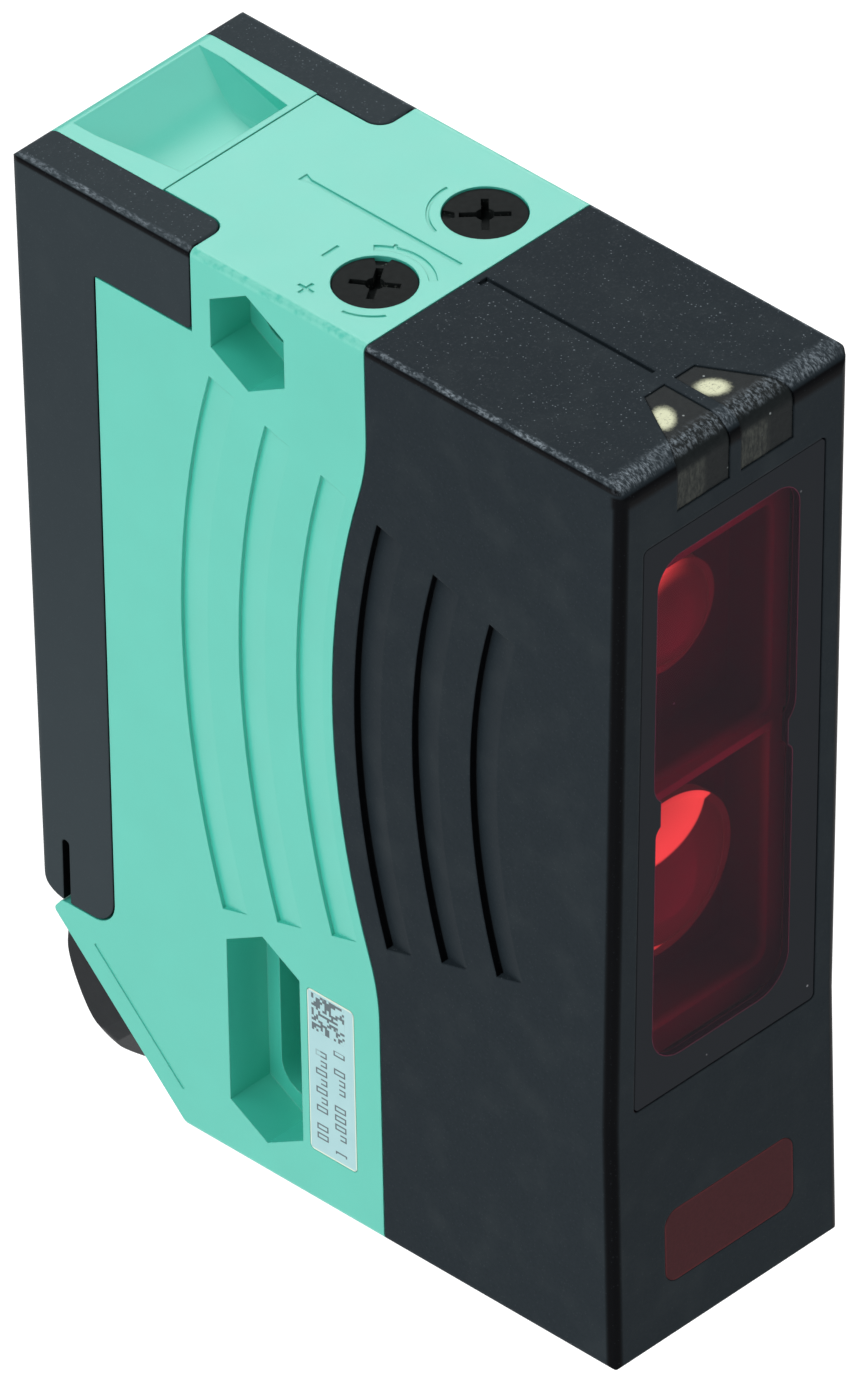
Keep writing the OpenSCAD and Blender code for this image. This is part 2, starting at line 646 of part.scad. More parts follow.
module hinge_pin() {
    color([0.75, 0.75, 0.76]) {
        cyl_x(-11, 11, hinge_y, hinge_z, hinge_r);
        for (s = [-1, 1]) translate([s * 11, hinge_y, hinge_z]) rotate([0, s * 90, 0])
            cylinder(h = 0.3, r1 = hinge_r, r2 = hinge_r - 0.3);
    }
}

// ---- cable gland ----
module ring(r0, r1, a, b) { translate([0, 0, a]) difference() {
    cylinder(h = b - a, r = r1);
    translate([0, 0, -1]) cylinder(h = b - a + 2, r = r0);
} }
module gland_washer() {
    color([0.08, 0.08, 0.08]) on_gland() rotate_extrude($fn = 90) rrect(gland_r + 0.1, 0.02, 8.3, 0.98, 0.3);
}
module gland_body() {
    color([0.16, 0.17, 0.18]) on_gland() difference() {
        union() {
            intersection() {
                translate([0, 0, 1]) cylinder(h = 3.2, r = 8.3 / cos(30), $fn = 6);
                rotate_extrude($fn = 90) polygon([[0, 1], [8.8, 1], [9.3, 1.5], [9.3, 3.7], [8.8, 4.2], [0, 4.2]]);
            }
            translate([0, 0, -8.4]) cylinder(h = 10, r = gland_r);
            translate([0, 0, 4]) cylinder(h = 4.2, r = 5.9);
            for (i = [0:5]) translate([0, 0, -7.9 + i * 1.4]) cylinder(h = 0.5, r = gland_r + 0.03);
        }
        translate([0, 0, -9]) cylinder(h = 20, r = 4.4);
    }
}
module gland_insert() {
    color([0.1, 0.1, 0.1]) on_gland() ring(cable_r, 4.35, 2.6, 8.4);
}
module gland_nut() {
    color([0.16, 0.17, 0.18]) on_gland() rotate(-gland_turn) difference() {
        intersection() {
            translate([0, 0, 4.5]) cylinder(h = 5.4, r = gland_nut_r, $fn = 6);
            rotate_extrude($fn = 90) soft_poly([[0, 4.5], [gland_nut_r - 0.4, 4.5], [gland_nut_r - 0.4, 9.9],
                [0, 9.9]], [0, 0.4, 1.6, 0]);
        }
        translate([0, 0, 4]) cylinder(h = 4.7, r = 6);
        translate([0, 0, 8]) cylinder(h = 4, r = 3.7);
        translate([0, 0, 9.1]) cylinder(h = 1, r1 = 3.6, r2 = 4.7);
    }
}

module type_label() {
    color([0.75, 0.87, 0.93]) along_x(-hw, -hw + 0.14) rrect(-2.25, 5.2, 2.85, 21.2, 0.45);
}
module front_badge() {
    color([0.4, 0.1, 0.12]) along_y(-low_y, -low_y + 0.11) badge_shape(0);
}

main_housing();
front_cover();
housing_seal();
lens_window();
aperture_mask();
optics_carrier();
emitter_lens();
receiver_lens();
emitter_led();
photodiode();
sensor_board();
sensor_board_screws();
main_board();
relay();
transformer();
capacitor();
signal_chip();
adjuster_board();
sensitivity_trimmer();
mode_trimmer();
sensitivity_adjuster();
mode_adjuster();
adjuster_o_rings();
indicator_board();
indicator_leds();
light_guide_left();
light_guide_right();
terminal_block();
terminal_cages();
terminal_screws();
rear_cover();
finger_grip();
cover_seal();
hinge_pin();
gland_body();
gland_washer();
gland_insert();
gland_nut();
type_label();
front_badge();
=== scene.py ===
"""Looks of a block photoelectric sensor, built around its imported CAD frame.

Every CAD node keeps its shape and place. This script gives each one a procedural material, and
makes the camera, the lamps and the floor.
"""

import math

import bmesh
import bpy
from mathutils import Matrix, Vector


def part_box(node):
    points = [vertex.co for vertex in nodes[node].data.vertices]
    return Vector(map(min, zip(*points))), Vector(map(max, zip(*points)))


MM = 0.001
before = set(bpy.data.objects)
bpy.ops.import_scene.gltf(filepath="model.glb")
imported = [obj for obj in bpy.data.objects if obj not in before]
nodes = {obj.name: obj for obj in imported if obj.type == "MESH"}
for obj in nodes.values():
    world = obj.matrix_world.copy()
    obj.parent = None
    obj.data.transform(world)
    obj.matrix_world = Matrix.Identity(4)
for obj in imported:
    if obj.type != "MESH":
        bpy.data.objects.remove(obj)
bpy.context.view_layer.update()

# Outer faces of the black front cover, in millimetres from the frame's origin.
cover_low, cover_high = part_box("front_cover")
HALF_WIDTH = cover_high.x / MM
TOP = cover_high.z / MM
FRONT = -cover_low.y / MM

# The lens face slopes back from the top down to this height, and is upright below it.
KINK = 24
FACE_SLOPE = math.tan(math.radians(2.2))


# ---------------------------------------------------------------- camera

# Where the camera stands as seen from its aim, in degrees, and how far it is rolled.
AZIMUTH, ELEVATION, ROLL = (math.radians(angle) for angle in (-45.30, 37.03, -1.26))
AIM = Vector((-0.03, 0.87, 44.0)) * MM
DISTANCE = 2.841
FOCAL_LENGTH, SENSOR_WIDTH = 935.7, 36


def make_camera():
    """Looks at the left front edge from above, from far away, through a long lens."""
    back = Vector(
        (
            math.sin(AZIMUTH) * math.cos(ELEVATION),
            -math.cos(AZIMUTH) * math.cos(ELEVATION),
            math.sin(ELEVATION),
        )
    )
    level = Vector((math.cos(AZIMUTH), math.sin(AZIMUTH), 0))
    upright = back.cross(level)
    right = level * math.cos(ROLL) + upright * math.sin(ROLL)
    up = upright * math.cos(ROLL) - level * math.sin(ROLL)
    data = bpy.data.cameras.new("camera")
    data.sensor_width = SENSOR_WIDTH
    data.lens = FOCAL_LENGTH
    data.clip_start, data.clip_end = 0.1, 50
    camera = bpy.data.objects.new("camera", data)
    bpy.context.scene.collection.objects.link(camera)
    turn = Matrix((right, up, back)).transposed()
    camera.matrix_world = Matrix.Translation(AIM + back * DISTANCE) @ turn.to_4x4()
    bpy.context.scene.camera = camera


make_camera()


# ---------------------------------------------------------------- studio

# Each lamp's name, place and width in metres, and power in watts.
LAMPS = (
    ("key", (-0.40, 0.12, 0.90), 0.55, 3.7),
    ("side", (-0.92, 0.04, 0.32), 0.65, 3.1),
    ("rear", (0.51, 0.50, 0.585), 0.56, 2.9),
    ("right", (0.56, -0.34, 0.76), 0.55, 2.6),
)
LAMP_AIM = Vector((0, 0, 0.045))


def area_light(name, place, width, power):
    """A soft square lamp that shines on the middle of the sensor."""
    data = bpy.data.lights.new(name, "AREA")
    data.shape = "SQUARE"
    data.size = width
    data.energy = power
    light = bpy.data.objects.new(name, data)
    bpy.context.scene.collection.objects.link(light)
    away = Vector(place) - LAMP_AIM
    light.location = place
    light.rotation_mode = "QUATERNION"
    light.rotation_quaternion = away.to_track_quat("Z", "Y")


def make_studio():
    """Dim white surroundings and four soft lamps."""
    world = bpy.data.worlds.new("studio")
    world.use_nodes = True
    background = world.node_tree.nodes["Background"]
    background.inputs["Color"].default_value = (1.0, 1.0, 1.0, 1)
    background.inputs["Strength"].default_value = 0.22
    bpy.context.scene.world = world
    bpy.context.scene.view_settings.view_transform = "Standard"
    for lamp in LAMPS:
        area_light(*lamp)


make_studio()


# ---------------------------------------------------------------- node helpers

# Places of the colour sockets on a Mix node, whose inputs share their names with other types.
MIX_FIRST, MIX_SECOND, MIX_RESULT = 6, 7, 2


class Field:
    """A number that varies over a surface, so that masks read as plain sums."""

    def __init__(self, tree, socket):
        self.tree, self.socket = tree, socket

    def math(self, operation, *others):
        node = self.tree.nodes.new("ShaderNodeMath")
        node.operation = operation
        for place, value in enumerate((self, *others)):
            if isinstance(value, Field):
                self.tree.links.new(value.socket, node.inputs[place])
            else:
                node.inputs[place].default_value = value
        return Field(self.tree, node.outputs[0])

    def __add__(self, other):
        return self.math("ADD", other)

    def __sub__(self, other):
        return self.math("SUBTRACT", other)

    def __mul__(self, other):
        return self.math("MULTIPLY", other)

    def __rsub__(self, other):
        return (self * -1) + other

    def least(self, other):
        return self.math("MINIMUM", other)

    def most(self, other):
        return self.math("MAXIMUM", other)

    def size(self):
        return self.math("ABSOLUTE")

    def root(self):
        return self.math("SQRT")

    def floor(self):
        return self.math("FLOOR")

    def fraction(self):
        return self.math("FRACT")

    def rise(self, start, end):
        """0 at start and 1 at end, smooth between them; end may be below start."""
        node = self.tree.nodes.new("ShaderNodeMapRange")
        node.interpolation_type = "SMOOTHSTEP"
        node.inputs["From Min"].default_value = min(start, end)
        node.inputs["From Max"].default_value = max(start, end)
        self.tree.links.new(self.socket, node.inputs["Value"])
        risen = Field(self.tree, node.outputs["Result"])
        return risen if start < end else 1 - risen

    def within(self, low, high, soft):
        """1 between low and high, falling to 0 over soft outside them."""
        return self.rise(low - soft, low) * self.rise(high + soft, high)


class Paint:
    """The node tree of one material, with places in millimetres of the object's frame."""

    def __init__(self, name):
        self.material = bpy.data.materials.new(name)
        self.material.use_nodes = True
        self.tree = self.material.node_tree
        self.shader = self.tree.nodes["Principled BSDF"]
        coordinates = self.tree.nodes.new("ShaderNodeTexCoord")
        scaled = self.tree.nodes.new("ShaderNodeVectorMath")
        scaled.operation = "SCALE"
        scaled.inputs["Scale"].default_value = 1 / MM
        self.tree.links.new(coordinates.outputs["Object"], scaled.inputs[0])
        self.place = scaled.outputs[0]
        self.x, self.y, self.z = self.split(self.place)
        _, self.normal_y, self.normal_z = self.split(coordinates.outputs["Normal"])

    def split(self, vector):
        node = self.tree.nodes.new("ShaderNodeSeparateXYZ")
        self.tree.links.new(vector, node.inputs[0])
        return [Field(self.tree, out) for out in node.outputs]

    def join(self, x, y, z):
        node = self.tree.nodes.new("ShaderNodeCombineXYZ")
        for value, socket in zip((x, y, z), node.inputs):
            if isinstance(value, Field):
                self.tree.links.new(value.socket, socket)
            else:
                socket.default_value = value
        return node.outputs[0]

    def noise(self, grain, detail=2.0, rough=0.5, place=None):
        """Soft noise from 0 to 1, whose lumps are about grain millimetres wide."""
        node = self.tree.nodes.new("ShaderNodeTexNoise")
        node.inputs["Scale"].default_value = 1 / grain
        node.inputs["Detail"].default_value = detail
        node.inputs["Roughness"].default_value = rough
        self.tree.links.new(place or self.place, node.inputs["Vector"])
        return Field(self.tree, node.outputs["Fac"])

    def streaks(self, x, y, z, rough=0.5):
        """Noise in long lumps: so many of them to a millimetre in each direction."""
        return self.noise(1, 3, rough, self.join(self.x * x, self.y * y, self.z * z))

    def cells(self, size):
        """Distance from the nearest of scattered points, in cells, and a random number per point."""
        node = self.tree.nodes.new("ShaderNodeTexVoronoi")
        node.inputs["Scale"].default_value = 1 / size
        self.tree.links.new(self.place, node.inputs["Vector"])
        chance = self.split(node.outputs["Color"])[0]
        return Field(self.tree, node.outputs["Distance"]), chance

    def dice(self, x, y, z):
        """A random number from 0 to 1 for each whole place."""
        node = self.tree.nodes.new("ShaderNodeTexWhiteNoise")
        node.noise_dimensions = "3D"
        self.tree.links.new(self.join(x, y, z), node.inputs["Vector"])
        return Field(self.tree, node.outputs["Value"])

    def specks(self, spacing, radius, share):
        """Scattered dots: one in each spacing, of at most that radius, on that share of the cells."""
        near, chance = self.cells(spacing)
        reach = chance.rise(1 - share, 1) * (radius / spacing)
        return (reach - near).rise(0, 0.25 * radius / spacing)

    def blend(self, first, second, amount):
        """A colour that goes from first to second as amount goes from 0 to 1."""
        node = self.tree.nodes.new("ShaderNodeMix")
        node.data_type = "RGBA"
        self.tree.links.new(amount.socket, node.inputs[0])
        for place, colour in ((MIX_FIRST, first), (MIX_SECOND, second)):
            if isinstance(colour, tuple):
                node.inputs[place].default_value = (*colour, 1)
            else:
                self.tree.links.new(colour, node.inputs[place])
        return node.outputs[MIX_RESULT]

    def colour(self, value):
        self.tree.links.new(value, self.shader.inputs["Base Color"])

    def glow(self, value, strength):
        self.tree.links.new(value, self.shader.inputs["Emission Color"])
        self.set(Emission_Strength=strength)

    def rough(self, value):
        self.tree.links.new(value.socket, self.shader.inputs["Roughness"])

    def relief(self, height, edge):
        """Bumps from a height in millimetres, over edges that look rounded to that radius."""
        soft = self.tree.nodes.new("ShaderNodeBevel")
        soft.samples = 4
        soft.inputs["Radius"].default_value = edge * MM
        bump = self.tree.nodes.new("ShaderNodeBump")
        bump.inputs["Distance"].default_value = MM
        self.tree.links.new(height.socket, bump.inputs["Height"])
        self.tree.links.new(soft.outputs["Normal"], bump.inputs["Normal"])
        self.tree.links.new(bump.outputs["Normal"], self.shader.inputs["Normal"])

    def set(self, **values):
        """Constant shader inputs, named with underscores for spaces."""
        for name, value in values.items():
            self.shader.inputs[name.replace("_", " ")].default_value = value

    def edges(self):
        """Distances in from the sides, the top and the sloping lens face, in millimetres."""
        below = TOP - self.z
        side = HALF_WIDTH - self.x.size()
        face = self.y + FRONT - below.least(TOP - KINK) * FACE_SLOPE
        return side, below, face


# ---------------------------------------------------------------- plastics

# Colour of the painted shade on the black plastic.
PAINTED_SHADE_BLACK = (0.0025, 0.003, 0.004)
# Pale scuff colour; on the black's long top edges it is also a painted highlight.
SCUFF_AND_HIGHLIGHT = (0.27, 0.32, 0.36)


def teal_plastic():
    """Satin moulded plastic, with a painted highlight along the long top edges."""
    paint = Paint("teal_plastic")
    side, below, _ = paint.edges()
    colour = paint.blend((0.048, 0.520, 0.400), (0.064, 0.575, 0.450), paint.noise(5, 3))
    # rim: a painted highlight along the rounded long top edges.
    rim = side.rise(0.75, 0.35) * below.rise(0.75, 0.35) * paint.noise(0.6).rise(0.2, 0.6)
    paint.colour(paint.blend(colour, (0.30, 0.80, 0.66), rim * 0.45))
    grain = paint.noise(0.12, 2)
    paint.rough(grain * 0.12 + paint.noise(2.5) * 0.08 + 0.27)
    paint.relief(grain * 0.004 + paint.noise(1.6) * 0.004, 0.12)
    paint.set(Specular_IOR_Level=0.95)
    return paint.material


def black_ground(paint):
    """Uneven black, greyer on the rear cover and most of all at its foot."""
    colour = paint.blend((0.013, 0.0195, 0.0245), (0.021, 0.0295, 0.036), paint.noise(0.25, 3))
    colour = paint.blend(colour, (0.028, 0.037, 0.042), paint.noise(3.5, 3).rise(0.45, 0.8) * 0.5)
    rear = paint.y.rise(9, 13) * (0.75 - paint.z.rise(20, 75) * 0.3)
    return paint.blend(colour, (0.045, 0.060, 0.067), rear)


def scuffs_and_painted_highlight(side, below, face):
    """1 on the long top edges, where the black is scuffed and an edge highlight is painted, and on the
    brow over the lens face, where it is scuffed.
    """
    ridge = below.rise(0.40, 0.18) * side.rise(0.62, 0.30)
    brow = below.rise(1.0, 0.45) * face.rise(2.3, 1.3) * side.rise(-0.1, 0.4)
    return ridge.most(brow)


def painted_edge_shade(side, below, face, normal_y):
    """1 where shade is painted: under the scuffed edges, down the upright front edges and in the
    grooves of the ribs.
    """
    under = below.rise(0.30, 0.42) * below.rise(1.0, 0.72) * side.rise(0.5, 0.25)
    chin = below.rise(0.95, 1.25) * below.rise(2.7, 2.0) * face.rise(1.3, 0.7)
    post = (side + face).rise(1.0, 0.65) * below.rise(0.8, 1.4)
    groove = normal_y.rise(-0.5, -0.8) * face.rise(4, 5) * side.within(0.05, 1.2, 0.05)
    return under.most(chin).most(post).most(groove)


def dust_and_painted_glints(paint, upward):
    """Tiny pale specks, mostly on top, in patches and towards the far front corner: dust, and painted
    glints of the grain.
    """
    dust = paint.specks(0.30, 0.075, 0.8).most(paint.specks(0.7, 0.10, 0.25))
    patch = paint.noise(5, 2).rise(0.35, 0.65) + paint.x.rise(6, 12) * paint.y.rise(-24, -30)
    return dust * (upward * (patch * 0.4 + 0.15) + 0.04)


def black_plastic():
    """Finely grained black: scuffs and a painted highlight on the top edges, dust, painted glints and
    sheen on top, painted shade along the smooth upright edges.
    """
    paint = Paint("black_plastic")
    side, below, face = paint.edges()
    # worn: scuffs, and a painted highlight along the long top edges.
    worn = scuffs_and_painted_highlight(side, below, face)
    # dark: painted shade under the top edges, down the upright front edges and in the rib grooves;
    # these places are also smoother.
    dark = painted_edge_shade(side, below, face, paint.normal_y)
    upward = paint.normal_z.rise(0.5, 0.9)
    colour = paint.blend(black_ground(paint), PAINTED_SHADE_BLACK, dark)
    streak = paint.streaks(5, 2.2, 1.6, rough=0.7)
    uneven = paint.noise(3.5, 2).rise(0.3, 0.65) * 0.6 + 0.35
    colour = paint.blend(colour, SCUFF_AND_HIGHLIGHT, worn * (streak.rise(0.40, 0.72) * uneven + 0.05))
    # Lighter mottling on upward faces only: a painted sheen on top.
    painted_top_sheen = upward * paint.noise(0.35, 4, rough=0.8).rise(0.52, 0.75) * 0.35
    colour = paint.blend(colour, (0.075, 0.088, 0.098), painted_top_sheen)
    # Pale specks: dust, and painted glints of the grain.
    paint.colour(paint.blend(colour, (0.22, 0.26, 0.29), dust_and_painted_glints(paint, upward)))
    grain = paint.noise(0.10, 2)
    fuzz = paint.noise(0.22, 3, rough=0.7)
    paint.rough(grain * 0.15 + 0.44 - dark * 0.1)
    paint.relief(grain * 0.005 + worn * fuzz * 0.015, 0.25)
    paint.set(Specular_IOR_Level=0.03)
    return paint.material


def gland_black():
    """Satin black of the cable gland's moulded parts."""
    paint = Paint("gland_black")
    paint.colour(paint.blend((0.008, 0.010, 0.012), (0.016, 0.019, 0.022), paint.noise(0.8, 3)))
    grain = paint.noise(0.15, 2)
    paint.rough(grain * 0.2 + 0.3)
    paint.relief(grain * 0.005, 0.3)
    paint.set(Specular_IOR_Level=0.1)
    return paint.material


def dial_black():
    """Semi-gloss, with scratches where a screwdriver has worn the cross just below the top."""
    paint = Paint("dial_black")
    depth = TOP - paint.z
    scratch = paint.noise(0.3, 3).rise(0.56, 0.72)
    colour = paint.blend((0.006, 0.008, 0.008), (0.016, 0.019, 0.019), paint.noise(0.5, 3))
    paint.colour(paint.blend(colour, (0.20, 0.22, 0.20), scratch * depth.within(0.4, 1.0, 0.1) * 0.5))
    paint.rough(paint.noise(0.2) * 0.25 + 0.22)
    paint.relief(paint.noise(0.25) * 0.004, 0.12)
    paint.set(Specular_IOR_Level=0.02)
    return paint.material


def black_rubber():
    """Matt rubber of the seals."""
    paint = Paint("black_rubber")
    paint.colour(paint.blend((0.012, 0.012, 0.012), (0.026, 0.026, 0.026), paint.noise(0.5, 4)))
    paint.rough(paint.noise(0.3) * 0.2 + 0.6)
    paint.relief(paint.noise(0.2, 3) * 0.01, 0.15)
    return paint.material


# ---------------------------------------------------------------- optics

# The see-through openings of the pane lie this far to the left of its middle.
PRINT_SHIFT = 0.55
# Half width, bottom, top and corner radius of the shapes that make up those openings.
UPPER_OPENING = (8.0, TOP - 34.4, TOP - 9.9, 2.6)
LOWER_OPENING = (7.75, TOP - 60.3, TOP - 45.0, 3.4)
LOWER_SHOULDERS = (7.75, TOP - 56.0, TOP - 36.0, 1.2)
WAIST = (7.2, TOP - 40.0, TOP - 30.0, 0.5)

EMITTER_RADIUS, RECEIVER_RADIUS = 4.6, 7.0


def clear_to_lamps(paint, tint):
    """Lets lamplight straight through a glass shader, so that what is behind it stays lit."""
    tree = paint.tree
    path = tree.nodes.new("ShaderNodeLightPath")
    clear = tree.nodes.new("ShaderNodeBsdfTransparent")
    clear.inputs["Color"].default_value = (*tint, 1)
    mix = tree.nodes.new("ShaderNodeMixShader")
    tree.links.new(path.outputs["Is Shadow Ray"], mix.inputs[0])
    tree.links.new(paint.shader.outputs[0], mix.inputs[1])
    tree.links.new(clear.outputs[0], mix.inputs[2])
    tree.links.new(mix.outputs[0], tree.nodes["Material Output"].inputs["Surface"])


def opening(paint, half, low, high, radius):
    """1 inside a rounded opening in the lens face, and 0 outside it."""
    across = ((paint.x + PRINT_SHIFT).size() - (half - radius)).most(0)
    up = ((paint.z - (low + high) / 2).size() - ((high - low) / 2 - radius)).most(0)
    return ((across * across + up * up).root() - radius).rise(0.06, -0.06)


def red_window():
    """Polished pane of clear dark red, black round its two openings, with a few grains of dust and a
    faint painted haze of light.
    """
    paint = Paint("red_window")
    clear = opening(paint, *UPPER_OPENING)
    for shape in (LOWER_OPENING, LOWER_SHOULDERS, WAIST):
        clear = clear.most(opening(paint, *shape))
    dust = paint.specks(1.9, 0.13, 0.16) * paint.noise(7).rise(0.42, 0.6)
    colour = paint.blend((0.016, 0.018, 0.022), (0.52, 0.045, 0.15), clear)
    paint.colour(paint.blend(colour, (0.25, 0.25, 0.27), dust))
    paint.tree.links.new((clear * (1 - dust)).socket, paint.shader.inputs["Transmission Weight"])
    paint.rough((1 - clear) * 0.4 + paint.noise(3) * 0.02 + 0.01)
    # The faint bluish-white emission is a painted haze of reflected light on the pane.
    paint.set(IOR=1.05, Emission_Color=(0.8, 0.9, 1.0, 1), Emission_Strength=0.010)
    clear_to_lamps(paint, (0.62, 0.10, 0.20))
    return paint.material


def mask_black():
    """Dull black of the frame behind the pane."""
    paint = Paint("mask_black")
    paint.colour(paint.blend((0.0012, 0.002, 0.003), (0.002, 0.003, 0.004), paint.noise(0.4, 3)))
    paint.rough(paint.noise(0.3) * 0.1 + 0.7)
    paint.set(Specular_IOR_Level=0.05)
    return paint.material


def carrier_plastic():
    """Dark moulded chambers that the lenses sit in, paler where light falls on their rims."""
    paint = Paint("carrier_plastic")
    _, _, face = paint.edges()
    colour = paint.blend((0.13, 0.12, 0.14), (0.18, 0.17, 0.19), paint.noise(1.2, 3))
    paint.colour(paint.blend(colour, (0.6, 0.56, 0.56), face.rise(4.4, 3.2) * 0.75))
    paint.rough(paint.noise(0.5) * 0.15 + 0.4)
    paint.relief(paint.noise(0.3) * 0.01, 0.2)
    return paint.material


def crescent(across, up, out, radius):
    """Light that follows the upper left shoulder of a lens."""
    shoulder = out.rise(0.80 * radius, 1.08 * radius)
    return shoulder * across.rise(0.6 * radius, -0.5 * radius) * up.rise(0.1 * radius, 0.6 * radius)


def wedge(across, up, out, radius):
    """Light above a sloping chord of a lens, and a short arc of it at the lower left."""
    chord = up - across * 0.25
    strength = chord.rise(1.25 * radius, 0.65 * radius) * 0.5 + 0.5
    arc = out.within(radius * 0.86, radius * 0.95, 0.25) * up.rise(-0.3 * radius, -0.8 * radius)
    arc = arc * across.within(-0.75 * radius, -0.2 * radius, 0.8) * 0.6
    return (chord.rise(0.57 * radius, 0.61 * radius) * strength).most(arc)


def lens_plastic(node, radius, shine):
    """Moulded lens with a faint painted glow over all of it and a painted highlight where shine gives.
    """
    paint = Paint(node + "_plastic")
    low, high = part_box(node)
    across, up = paint.x, paint.z - (low.z + high.z) / 2 / MM
    out = (across * across + up * up).root()
    rim = radius + 0.5
    # lit: a painted highlight, put into both the colour and the glow.
    lit = shine(across, up, out, radius) * out.rise(rim + 0.08, rim)
    tone = paint.noise(2.0, 2)
    base = paint.blend((0.22, 0.19, 0.21), (0.30, 0.26, 0.28), tone)
    paint.colour(paint.blend(base, (0.9, 0.8, 0.75), lit))
    paint.glow(paint.blend((0.045, 0.03, 0.012), (1.0, 0.7, 0.2), lit), 1.5)
    paint.rough(tone * 0.05 + 0.08)
    return paint.material


# The lit spots of the light guides: middle, and half lengths along the two diagonals of the top.
LIT_SPOTS = ((-3.8, -28.6, 1.75, 1.15), (1.75, -28.6, 1.25, 1.6))


def lit_spot(paint, fuzz, x, y, away_half, level_half):
    """1 in a ragged oval on the top, and 0 outside it."""
    diagonal = math.sqrt(0.5)
    away = ((paint.x - x) + (paint.y - y)) * (diagonal / away_half)
    level = ((paint.x - x) - (paint.y - y)) * (diagonal / level_half)
    return ((away * away + level * level).root() + (fuzz - 0.5) * 0.55).rise(1.1, 0.5)


def smoky_guide():
    """Smoky clear plastic: almost black on top, with painted light in a brownish tone on the left part
    of each front, and the indicators' pale glow.
    """
    paint = Paint("smoky_guide")
    _, below, face = paint.edges()
    fuzz = paint.noise(0.28, 3, rough=0.7)
    streak = paint.streaks(4, 2, 1.3, rough=0.7)
    colour = paint.blend((0.010, 0.013, 0.014), (0.022, 0.026, 0.027), paint.noise(0.5, 3))
    # The brownish patch on the left part of each front is painted light.
    left = paint.x.within(-6.6, -3.9, 1.0).most(paint.x.within(0.6, 3.2, 1.0))
    front = below.rise(1.6, 2.4) * left
    colour = paint.blend(colour, (0.085, 0.092, 0.080), front * (streak.rise(0.3, 0.8) * 0.75 + 0.1))
    brow = below.rise(1.0, 0.45) * face.rise(2.6, 1.4)
    colour = paint.blend(colour, SCUFF_AND_HIGHLIGHT, brow * streak.rise(0.42, 0.70) * 0.65)
    left_spot, right_spot = (lit_spot(paint, fuzz, *spot) for spot in LIT_SPOTS)
    glow = left_spot.most(right_spot) * below.rise(0.6, 0.2)
    colour = paint.blend(colour, (0.72, 0.74, 0.52), glow * fuzz.rise(0.15, 0.5))
    glint = paint.specks(0.8, 0.14, 0.25)
    paint.colour(paint.blend(colour, (0.45, 0.5, 0.5), glint * 0.6))
    paint.rough(paint.noise(0.4) * 0.15 + 0.2)
    paint.relief(paint.noise(0.3) * 0.006 + brow * fuzz * 0.02, 0.2)
    paint.set(Specular_IOR_Level=0.03)
    return paint.material


# ---------------------------------------------------------------- print

# The label's block of square cells, and its two rows of little boxes, in millimetres.
CELL = 0.24
BLOCK_Y, BLOCK_Z = (-1.2, 2.4), (17.28, 20.88)
ROWS_Y, ROW_Z = (1.45, -0.55), (6.0, 16.3)
BOX_PITCH, BOX_STROKE = 0.92, 0.15


def box_row(paint, row_y):
    """1 on the strokes of one row of plain boxes, some of them left out and some open at one side."""
    place = paint.z * (1 / BOX_PITCH)
    number = place.floor()
    along = (place.fraction() - 0.5).size() * BOX_PITCH
    above = (paint.y - row_y).size()
    box = along.rise(0.32, 0.28) * above.rise(0.64, 0.60)
    hole = along.rise(0.32 - BOX_STROKE, 0.28 - BOX_STROKE)
    hole = hole * above.rise(0.64 - BOX_STROKE, 0.60 - BOX_STROKE)
    present = paint.dice(row_y, number, 7.0).rise(0.21, 0.23)
    opened = paint.dice(row_y, number, 5.0).rise(0.62, 0.64) * (paint.y - row_y).rise(0.05, 0.10)
    return box * (1 - hole) * (1 - opened) * present * paint.z.within(*ROW_Z, 0.02)


def inner_part(places, low, high, rims, soft):
    """1 inside a rectangle and 0 on a rim round it, whose width is given for each direction."""
    first, second = (
        place.within(start + rim, end - rim, soft)
        for place, start, end, rim in zip(places, low, high, rims)
    )
    return first * second


def label_pale():
    """Pale blue-white film with a made-up block of cells and two rows of plain little boxes."""
    paint = Paint("label_pale")
    film = paint.blend((0.36, 0.61, 0.64), (0.43, 0.68, 0.70), paint.noise(2, 3))
    column, row = ((place * (1 / CELL)).floor() for place in (paint.y, paint.z))
    dark = paint.dice(column, row, 3.0).rise(0.49, 0.51)
    ink = dark * paint.z.within(*BLOCK_Z, 0.02) * paint.y.within(*BLOCK_Y, 0.02)
    for row_y in ROWS_Y:
        ink = ink.most(box_row(paint, row_y))
    colour = paint.blend(film, (0.03, 0.035, 0.05), ink * 0.85)
    low, high = (corner.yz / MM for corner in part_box("type_label"))
    inside = inner_part((paint.y, paint.z), low, high, rims=(0.15, 0.2), soft=0.1)
    paint.colour(paint.blend((0.72, 0.84, 0.72), colour, inside))
    paint.rough(paint.noise(0.5) * 0.1 + 0.38)
    paint.relief(paint.noise(1.2) * 0.006, 0.05)
    return paint.material


def badge_red():
    """Plain printed bar, a little brighter at its rim."""
    paint = Paint("badge_red")
    low, high = (corner.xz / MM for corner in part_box("front_badge"))
    inside = inner_part((paint.x, paint.z), low, high, rims=(0.25, 0.25), soft=0.2)
    middle = paint.blend((0.048, 0.011, 0.014), (0.076, 0.017, 0.021), paint.noise(0.25, 3))
    paint.colour(paint.blend((0.10, 0.018, 0.022), middle, inside))
    paint.rough(paint.noise(0.3) * 0.15 + 0.45)
    paint.relief(paint.noise(0.15) * 0.004, 0.05)
    paint.set(Specular_IOR_Level=0.05)
    return paint.material


# ---------------------------------------------------------------- inner parts

